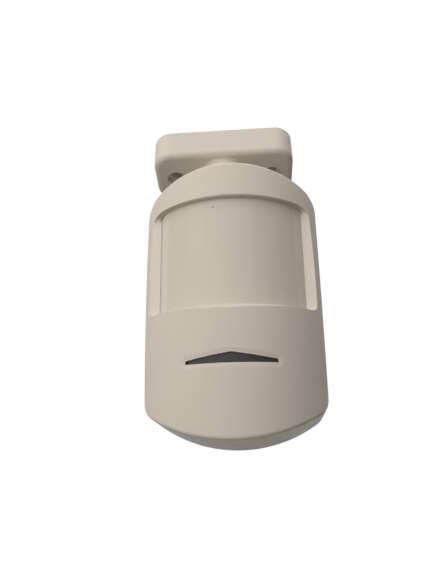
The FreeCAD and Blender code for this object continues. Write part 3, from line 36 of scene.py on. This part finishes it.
# Places on the detector, in metres, along it from its lower end, across it from its middle, and, where the
# name says ABOVE, out from its back.
BAND_BOTTOM, BAND_TOP = 42.7 * MM, 80.7 * MM
FLAT_ABOVE, FLAT_HALF = 28.7 * MM, 29.6 * MM    # the flats beside the lens, and half the width over both
LENS_HALF = 24.8 * MM
SLOT_HALF, SLOT_BASE, SLOT_END, SLOT_PEAK = 14.4 * MM, 24.15 * MM, 1.15 * MM, 3.25 * MM
BOARD_ABOVE = 5.2 * MM
BULB_ABOVE = BOARD_ABOVE + 5.0 * MM
CAN_ACROSS, CAN_TOP = 14.0 * MM, BOARD_ABOVE + 11.0 * MM

# The marks that are in the materials alone, in metres, and their tones against the colour round them.
LIP_WIDTH, LIP_DEPTH = 1.7 * MM, 0.22 * MM      # the front sinks a little towards the indicator slot
# Painted light: the flats beside the lens are painted paler, to lift the shade of their recess.
FLATS_PAINTED_LIGHT = 1.15
COLUMN, COLUMN_TONE = 4.1 * MM, 0.955           # upright bands from the ribs inside the lens
STREAK_TONE = 0.97
# Painted light: a paler strip along each side of the lens.
PAINTED_EDGE_LIGHT_START, PAINTED_EDGE_LIGHT_END, PAINTED_EDGE_LIGHT_TONE = LENS_HALF - 3.2 * MM, LENS_HALF - 2.5 * MM, 1.07
# Painted shade: a dark line in the crease at the lens's left edge.
PAINTED_CREASE_SHADE_START, PAINTED_CREASE_SHADE_END, PAINTED_CREASE_SHADE_TONE = LENS_HALF - 0.9 * MM, LENS_HALF - 0.15 * MM, 0.45
SPECK_ACROSS, SPECK_HIGH, SPECK_TONE = -5.3 * MM, 77.7 * MM, 0.25
SPECK_CORE, SPECK_EDGE = 0.15 * MM, 0.55 * MM

# Linear colours.
HOUSING = (0.658, 0.592, 0.508)
BRACKET = (0.65, 0.584, 0.5)
LENS = (0.613, 0.552, 0.466)
TIN = (0.62, 0.62, 0.63)
SMOKE_DARK, SMOKE_LIGHT = (0.026, 0.025, 0.024), (0.034, 0.033, 0.031)
LACQUER_DARK, LACQUER_LIGHT, TRACK = (0.012, 0.10, 0.035), (0.018, 0.125, 0.045), (0.03, 0.19, 0.06)
SOLDER, LEAD_TIN = (0.55, 0.55, 0.52), (0.5, 0.5, 0.48)
SLEEVE, STRIPE, SCORE, GRIME = (0.015, 0.02, 0.05), (0.42, 0.43, 0.45), (0.2, 0.2, 0.2), (0.1, 0.1, 0.1)
RESIN_DARK, RESIN_LIGHT = (0.42, 0.02, 0.012), (0.5, 0.03, 0.018)
WHITE = (1.0, 1.0, 1.0, 1.0)


class Shader:
    """One node material, built up step by step. Lengths are in metres."""

    def __init__(self, name):
        self.material = bpy.data.materials.new(name)
        self.material.use_nodes = True
        self.tree = self.material.node_tree
        self.tree.nodes.clear()
        self.main = self.add("ShaderNodeBsdfPrincipled")
        self.join(self.main.outputs[0], self.add("ShaderNodeOutputMaterial").inputs["Surface"])
        self.place = self.add("ShaderNodeTexCoord").outputs["Object"]
        self.bump_normal = None

    def add(self, kind, **settings):
        made = self.tree.nodes.new(kind)
        for name, setting in settings.items():
            setattr(made, name, setting)
        return made

    def join(self, source, target):
        self.tree.links.new(source, target)

    def feed(self, socket, source):
        if isinstance(source, bpy.types.NodeSocket):
            self.join(source, socket)
        else:
            socket.default_value = source

    def feed_colour(self, socket, source):
        self.feed(socket, (*source, 1.0) if isinstance(source, tuple) else source)

    def maths(self, operation, *values):
        made = self.add("ShaderNodeMath", operation=operation)
        for socket, source in zip(made.inputs, values):
            self.feed(socket, source)
        return made.outputs[0]

    def vector_maths(self, operation, source, other):
        made = self.add("ShaderNodeVectorMath", operation=operation)
        self.join(source, made.inputs[0])
        made.inputs[1].default_value = other
        return made

    def along(self, axis):
        """How far a point lies along one of the detector's directions, from its lower end."""
        shifted = self.vector_maths("SUBTRACT", self.place, LOWER_END)
        return self.vector_maths("DOT_PRODUCT", shifted.outputs[0], axis).outputs["Value"]

    def off(self, source, middle=0.0):
        """How far a source is from a value, to either side."""
        return self.maths("ABSOLUTE", self.maths("SUBTRACT", source, middle))

    def past(self, source, edge):
        """How far a source is past an edge, or 0."""
        return self.maths("MAXIMUM", self.maths("SUBTRACT", source, edge), 0.0)

    def slant(self, first, second):
        """The straight distance of a point that is so far one way and so far the other."""
        squares = [self.maths("MULTIPLY", run, run) for run in (first, second)]
        return self.maths("SQRT", self.maths("ADD", *squares))

    def noise(self, size, detail=2.0, roughness=0.5, stretch=None):
        """A noise from 0 to 1 whose blotches are about size metres across."""
        made = self.add("ShaderNodeTexNoise")
        source = self.vector_maths("MULTIPLY", self.place, stretch).outputs[0] if stretch else self.place
        self.join(source, made.inputs["Vector"])
        made.inputs["Scale"].default_value = 1.0 / size
        made.inputs["Detail"].default_value = detail
        made.inputs["Roughness"].default_value = roughness
        return made.outputs["Fac"]

    def ramp(self, source, low, high, start=0.0, end=1.0):
        """Maps low..high of the source to start..end, smoothly and no further."""
        made = self.add("ShaderNodeMapRange", interpolation_type="SMOOTHSTEP")
        self.feed(made.inputs["Value"], source)
        for name, number in (("From Min", low), ("From Max", high), ("To Min", start), ("To Max", end)):
            made.inputs[name].default_value = number
        return made.outputs["Result"]

    def spread(self, noise, start=0.0, end=1.0):
        """Maps the range where most of a noise lies to start..end."""
        return self.ramp(noise, 0.3, 0.7, start, end)

    def mix(self, amount, first, second):
        made = self.add("ShaderNodeMix", data_type="RGBA")
        self.feed(made.inputs["Factor"], amount)
        for socket, source in zip((made.inputs[6], made.inputs[7]), (first, second)):
            self.feed_colour(socket, source)
        return made.outputs[2]

    def bump(self, height, depth):
        made = self.add("ShaderNodeBump")
        made.inputs["Strength"].default_value = 1.0
        made.inputs["Distance"].default_value = depth
        self.feed(made.inputs["Height"], height)
        if self.bump_normal is not None:
            self.join(self.bump_normal, made.inputs["Normal"])
        self.bump_normal = made.outputs["Normal"]

    def done(self, colour, roughness, **sockets):
        self.feed_colour(self.main.inputs["Base Color"], colour)
        self.feed(self.main.inputs["Roughness"], roughness)
        for name, setting in sockets.items():
            self.main.inputs[name.replace("_", " ")].default_value = setting
        if self.bump_normal is not None:
            self.join(self.bump_normal, self.main.inputs["Normal"])
        return self.material


def shade(colour, factor):
    return tuple(channel * factor for channel in colour)


def flats(shader):
    """1 on the two flats beside the lens, which are painted paler: painted light that lifts the shade of
    their recess.
    """
    half_band = (BAND_TOP - BAND_BOTTOM) / 2
    from_flat = shader.off(shader.along(FRONT), FLAT_ABOVE)
    from_band = shader.off(shader.along(LONG), BAND_BOTTOM + half_band)
    level = shader.ramp(from_flat, 0.05 * MM, 0.5 * MM, 1.0, 0.0)
    inner = shader.ramp(shader.off(shader.along(ACROSS)), FLAT_HALF, FLAT_HALF + 0.15 * MM, 1.0, 0.0)
    between = shader.ramp(from_band, half_band - 0.5 * MM, half_band, 1.0, 0.0)
    return shader.maths("MULTIPLY", shader.maths("MULTIPLY", level, inner), between)


def slot_lip(shader):
    """Height of the front round the indicator slot: 0 at the slot's edge, 1 beyond the lip."""
    across, high = shader.off(shader.along(ACROSS)), shader.along(LONG)
    slope = (SLOT_PEAK - SLOT_END) / SLOT_HALF
    roof = shader.maths("SUBTRACT", SLOT_BASE + SLOT_PEAK, shader.maths("MULTIPLY", across, slope))
    below = shader.maths("MAXIMUM", shader.maths("SUBTRACT", SLOT_BASE, high), 0.0)
    upright = shader.maths("ADD", below, shader.past(high, roof))
    return shader.ramp(shader.slant(shader.past(across, SLOT_HALF), upright), 0.0, LIP_WIDTH)


def moulded(name, colour, roughness=0.58, drift=0.03, cover=False):
    """Moulded plastic: a slow drift of tone, a spark-eroded grain, and an uneven sheen. The cover has the
    lip round its slot as well, and painted light that makes its flats paler."""
    shader = Shader(name)
    if cover:
        shader.bump(slot_lip(shader), LIP_DEPTH)
    grain = shader.noise(0.4 * MM, roughness=0.6)
    slow = shader.noise(20 * MM, detail=3.0)
    tone = shader.mix(slow, shade(colour, 1 - drift), shade(colour, 1 + drift))
    tone = shader.mix(shader.ramp(grain, 0.35, 0.7, end=0.06), tone, shade(colour, 0.8))
    if cover:
        # Painted light: the flats are painted paler.
        tone = shader.mix(flats(shader), tone, shade(colour, FLATS_PAINTED_LIGHT))
    shader.bump(grain, 0.01 * MM)
    sheen = shader.spread(shader.noise(6 * MM), roughness - 0.05, roughness + 0.06)
    return shader.done(tone, sheen, Specular_IOR_Level=0.1)


def metal(name, colour, roughness, brushed=None):
    """Metal with fine scratches, or brushed along one direction."""
    shader = Shader(name)
    fine = shader.noise(0.12 * MM, detail=3.0, roughness=0.6, stretch=brushed)
    tone = shader.mix(fine, shade(colour, 0.85), shade(colour, 1.08))
    shader.bump(fine, 0.004 * MM)
    sheen = shader.spread(shader.noise(1 * MM), roughness - 0.06, roughness + 0.1)
    return shader.done(tone, sheen, Metallic=1.0)


def lens_sheet(name, colour):
    """Milky sheet: upright bands and faint streaks from the ribs inside, a paler strip at each side that is
    painted light, painted shade in the crease at the left edge, and a speck of dirt."""
    shader = Shader(name)
    across, high = shader.along(ACROSS), shader.along(LONG)
    wave = shader.maths("SINE", shader.maths("MULTIPLY", across, 2 * math.pi / COLUMN))
    streaks = shader.noise(3 * MM, stretch=(1.0, 0.3, 0.06))
    slow = shader.noise(12 * MM)
    from_speck = shader.slant(
        shader.maths("SUBTRACT", across, SPECK_ACROSS), shader.maths("SUBTRACT", high, SPECK_HIGH))
    leftward = shader.maths("MULTIPLY", across, -1.0)
    tone = shader.mix(slow, shade(colour, 0.985), shade(colour, 1.015))
    for amount, factor in (
        (shader.ramp(wave, -0.6, 0.6, end=0.4), COLUMN_TONE),
        (shader.spread(streaks), STREAK_TONE),
        (shader.ramp(from_speck, SPECK_CORE, SPECK_EDGE, 0.7, 0.0), SPECK_TONE),
        # painted light: the paler strip at each side of the lens
        (shader.ramp(shader.off(across), PAINTED_EDGE_LIGHT_START, PAINTED_EDGE_LIGHT_END), PAINTED_EDGE_LIGHT_TONE),
        # painted shade in the crease at the lens's left edge
        (shader.ramp(leftward, PAINTED_CREASE_SHADE_START, PAINTED_CREASE_SHADE_END, end=0.45), PAINTED_CREASE_SHADE_TONE),
    ):
        tone = shader.mix(amount, tone, shade(colour, factor))
    shader.bump(shader.noise(0.5 * MM), 0.002 * MM)
    return shader.done(tone, shader.spread(slow, 0.42, 0.5), Specular_IOR_Level=0.35)


def board_material(name):
    """Green lacquer over copper tracks, with small tinned pads on the pins' grid."""
    shader = Shader(name)
    grid = 2.54 * MM
    joined = shader.add("ShaderNodeCombineXYZ")
    shader.join(shader.along(ACROSS), joined.inputs[0])
    shader.join(shader.along(LONG), joined.inputs[1])
    flat = joined.outputs[0]

    def cells(size, randomness, distance):
        made = shader.add("ShaderNodeTexVoronoi", voronoi_dimensions="2D", distance=distance)
        shader.join(flat, made.inputs["Vector"])
        made.inputs["Scale"].default_value = 1 / size
        made.inputs["Randomness"].default_value = randomness
        return made.outputs["Distance"]

    tracks = shader.ramp(cells(grid * 1.6, 0.75, "CHEBYCHEV"), 0.42, 0.46)
    pads = shader.ramp(cells(grid, 0.0, "EUCLIDEAN"), 0.24, 0.28, 1.0, 0.0)
    draw = shader.add("ShaderNodeTexWhiteNoise", noise_dimensions="2D")
    snapped = shader.vector_maths("SNAP", flat, (grid * 2, grid * 2, grid * 2))
    shader.join(snapped.outputs[0], draw.inputs["Vector"])
    tinned = shader.maths("MULTIPLY", pads, shader.ramp(draw.outputs["Value"], 0.8, 0.81))
    tone = shader.mix(shader.noise(4 * MM), LACQUER_DARK, LACQUER_LIGHT)
    tone = shader.mix(shader.maths("MULTIPLY", tracks, 0.6), tone, TRACK)
    tone = shader.mix(tinned, tone, SOLDER)
    shader.bump(shader.maths("ADD", tracks, tinned), 0.03 * MM)
    return shader.done(tone, shader.ramp(tinned, 0.0, 1.0, 0.32, 0.25), Specular_IOR_Level=0.5)


def capacitor_material(name):
    """A dark sleeve with a light stripe down one side, open at the can's scored top."""
    shader = Shader(name)
    across = shader.along(ACROSS)
    sleeve_top = CAN_TOP - 0.55 * MM
    bare = shader.ramp(shader.along(FRONT), sleeve_top, sleeve_top + 0.05 * MM)
    stripe = shader.ramp(across, CAN_ACROSS + 2.2 * MM, CAN_ACROSS + 2.3 * MM)
    score = shader.ramp(shader.off(across, CAN_ACROSS), 0.1 * MM, 0.18 * MM, 0.7, 0.0)
    tone = shader.mix(bare, shader.mix(stripe, SLEEVE, STRIPE), shader.mix(score, TIN, SCORE))
    fine = shader.noise(0.4 * MM)
    tone = shader.mix(shader.maths("MULTIPLY", fine, 0.15), tone, GRIME)
    shader.bump(fine, 0.005 * MM)
    return shader.done(tone, shader.ramp(bare, 0.0, 1.0, 0.32, 0.4))


def smoked_material(name):
    """Smoked plastic: nearly black, with a soft gloss."""
    shader = Shader(name)
    fine = shader.noise(0.8 * MM)
    tone = shader.mix(fine, SMOKE_DARK, SMOKE_LIGHT)
    shader.bump(fine, 0.004 * MM)
    return shader.done(tone, shader.spread(fine, 0.36, 0.46), Specular_IOR_Level=0.25)


def lamp_resin(name):
    """Red tinted resin, with its leads tinned below the bulb."""
    shader = Shader(name)
    bulb = shader.ramp(shader.along(FRONT), BULB_ABOVE - 0.1 * MM, BULB_ABOVE)
    fine = shader.noise(0.6 * MM)
    tone = shader.mix(bulb, LEAD_TIN, shader.mix(fine, RESIN_DARK, RESIN_LIGHT))
    shader.bump(fine, 0.003 * MM)
    return shader.done(tone, shader.ramp(bulb, 0.0, 1.0, 0.4, 0.15), Coat_Weight=0.3)


looks = {
    "cover": moulded("cover_plastic", HOUSING, cover=True),
    "inside": moulded("inside_plastic", shade(HOUSING, 0.98), roughness=0.42),
    "bracket": moulded("bracket_plastic", BRACKET),
    "ring": moulded("ring_plastic", (0.55, 0.54, 0.51), roughness=0.35),
    "lens": lens_sheet("lens_sheet", LENS),
    "window": smoked_material("window_plastic"),
    "board": board_material("circuit_board"),
    "black": moulded("black_plastic", (0.022, 0.022, 0.023), roughness=0.45, drift=0.1),
    "relay": moulded("relay_case", (0.62, 0.6, 0.55), roughness=0.3),
    "terminal": moulded("terminal_plastic", (0.02, 0.16, 0.05), roughness=0.4),
    "jumper": moulded("jumper_plastic", (0.02, 0.045, 0.28), roughness=0.4),
    "plunger": moulded("plunger_plastic", (0.6, 0.58, 0.53), roughness=0.4),
    "steel": metal("screw_steel", (0.6, 0.6, 0.6), roughness=0.3),
    "can": metal("sensor_can", (0.66, 0.65, 0.63), roughness=0.28, brushed=(1.0, 4.0, 4.0)),
    "filter": smoked_material("sensor_filter"),
    "capacitor": capacitor_material("capacitor_can"),
    "led": lamp_resin("led_resin"),
}

wearing = {
    "bracket_plate": "bracket",
    "socket_cap": "bracket",
    "socket_cap_screws": "steel",
    "friction_ring": "ring",
    "ball_arm": "bracket",
    "arm_screws": "steel",
    "rear_base": "inside",
    "circuit_board": "board",
    "board_screws": "steel",
    "pir_sensor": "can",
    "pir_window": "filter",
    "sensor_spacer": "black",
    "microcontroller": "black",
    "relay": "relay",
    "capacitors": "capacitor",
    "resistors": "black",
    "terminal_block": "terminal",
    "terminal_screws": "steel",
    "jumper_header": "black",
    "jumper_cap": "jumper",
    "indicator_led": "led",
    "tamper_switch": "black",
    "tamper_plunger": "plunger",
    "front_cover": "cover",
    "lens": "lens",
    "lens_retainer": "inside",
    "led_window": "window",
}
for node, look in wearing.items():
    slots = nodes[node].material_slots
    for slot in slots:
        slot.material = looks[look]
    if not slots:
        nodes[node].data.materials.append(looks[look])


# The camera is as it was fitted to the photograph, in a frame that lies on the plate's lower face and has
# its Y and Z turned over. It looks up at that face.
SENSOR_WIDTH, FOCAL_LENGTH = 36.0, 35.168
CLIP_NEAR, CLIP_FAR = 0.01, 50.0
VIEW = turned("Z", 6.015) @ turned("X", 52.52) @ turned("Y", -4.153)
FRAME_IN_VIEW = Vector((3.399, 49.079, -247.9)) * MM
PLATE_THICK = 15.0 * MM


def place_camera():
    data = bpy.data.cameras.new("camera")
    data.sensor_fit = "AUTO"
    data.sensor_width = SENSOR_WIDTH
    data.lens = FOCAL_LENGTH
    data.clip_start, data.clip_end = CLIP_NEAR, CLIP_FAR
    camera = bpy.data.objects.new("camera", data)
    scene.collection.objects.link(camera)
    flip = Matrix(((1, 0, 0), (0, -1, 0), (0, 0, -1)))
    turn = (VIEW @ flip).transposed()
    place = flip @ -(VIEW.transposed() @ FRAME_IN_VIEW) - Vector((0, 0, PLATE_THICK))
    camera.matrix_world = Matrix.Translation(place) @ turn.to_4x4()
    scene.camera = camera


place_camera()


# Large round lamps that face the middle of the object: degrees to its left, degrees up, and watts.
MIDDLE = Vector((0.0, -0.01, -0.075))
LAMP_SIZE, LAMP_AWAY = 2.0, 1.2
LAMPS = {
    "front": (24, 0, 15.8),
    "top": (0, 72, 13.4),
    "side": (90, -25, 2.4),
    "back": (-155, 40, 9.0),
}


def soft_box(name, left, up, power):
    left, up = math.radians(left), math.radians(up)
    way = Vector((-math.sin(left) * math.cos(up), -math.cos(left) * math.cos(up), math.sin(up)))
    data = bpy.data.lights.new(name, "AREA")
    data.shape = "DISK"
    data.size = LAMP_SIZE
    data.energy = power
    lamp = bpy.data.objects.new(name, data)
    lamp.location = MIDDLE + way * LAMP_AWAY
    lamp.rotation_mode = "QUATERNION"
    lamp.rotation_quaternion = (-way).to_track_quat("-Z", "Y")
    scene.collection.objects.link(lamp)


for lamp_name, aim in LAMPS.items():
    soft_box(lamp_name, *aim)


def in_sight(tree):
    """1 for rays from the camera, in reflections and through glass, and 0 for light on the object."""
    path = tree.nodes.new("ShaderNodeLightPath")
    seen = path.outputs["Is Camera Ray"]
    for kind in ("Is Glossy Ray", "Is Transmission Ray"):
        larger = tree.nodes.new("ShaderNodeMath")
        larger.operation = "MAXIMUM"
        tree.links.new(seen, larger.inputs[0])
        tree.links.new(path.outputs[kind], larger.inputs[1])
        seen = larger.outputs[0]
    return seen


FILL_COLOUR, FILL_STRENGTH = (1.0, 0.96, 0.94, 1.0), 0.12


def backdrop_world():
    """White to the camera and in reflections; a low even fill for the object."""
    world = bpy.data.worlds.new("studio")
    scene.world = world
    world.use_nodes = True
    tree = world.node_tree
    tree.nodes.clear()
    fill = tree.nodes.new("ShaderNodeBackground")
    fill.inputs["Color"].default_value = FILL_COLOUR
    fill.inputs["Strength"].default_value = FILL_STRENGTH
    white = tree.nodes.new("ShaderNodeBackground")
    white.inputs["Color"].default_value = WHITE
    both = tree.nodes.new("ShaderNodeMixShader")
    for socket, source in zip(both.inputs, (in_sight(tree), fill.outputs[0], white.outputs[0])):
        tree.links.new(source, socket)
    tree.links.new(both.outputs[0], tree.nodes.new("ShaderNodeOutputWorld").inputs["Surface"])


backdrop_world()


# The floor lies far below, clear of the lowest lamp.
FLOOR_REACH, FLOOR_LEVEL, FLOOR_GLOW = 12.0, -1.7, 0.82
FLOOR_DARK, FLOOR_LIGHT, FLOOR_TO_OBJECT = (0.86, 0.86, 0.86), (0.9, 0.9, 0.9), (0.3, 0.3, 0.3)


def pale_floor():
    """A pale floor that shows nearly white, throws little light back up, and still takes the shadow."""
    mesh = bpy.data.meshes.new("floor")
    signs = ((-1, -1), (1, -1), (1, 1), (-1, 1))
    corners = [(x * FLOOR_REACH, y * FLOOR_REACH, FLOOR_LEVEL) for x, y in signs]
    mesh.from_pydata(corners, [], [(0, 1, 2, 3)])
    floor = bpy.data.objects.new("floor", mesh)
    scene.collection.objects.link(floor)
    shader = Shader("floor_white")
    tone = shader.mix(shader.noise(0.4), FLOOR_DARK, FLOOR_LIGHT)
    diffuse = shader.add("ShaderNodeLightPath").outputs["Is Diffuse Ray"]
    tone = shader.mix(diffuse, tone, FLOOR_TO_OBJECT)
    glow = shader.maths("MULTIPLY", in_sight(shader.tree), FLOOR_GLOW)
    shader.join(glow, shader.main.inputs["Emission Strength"])
    mesh.materials.append(shader.done(tone, 0.8, Specular_IOR_Level=0.1, Emission_Color=WHITE))


pale_floor()

scene.view_settings.view_transform = "Standard"
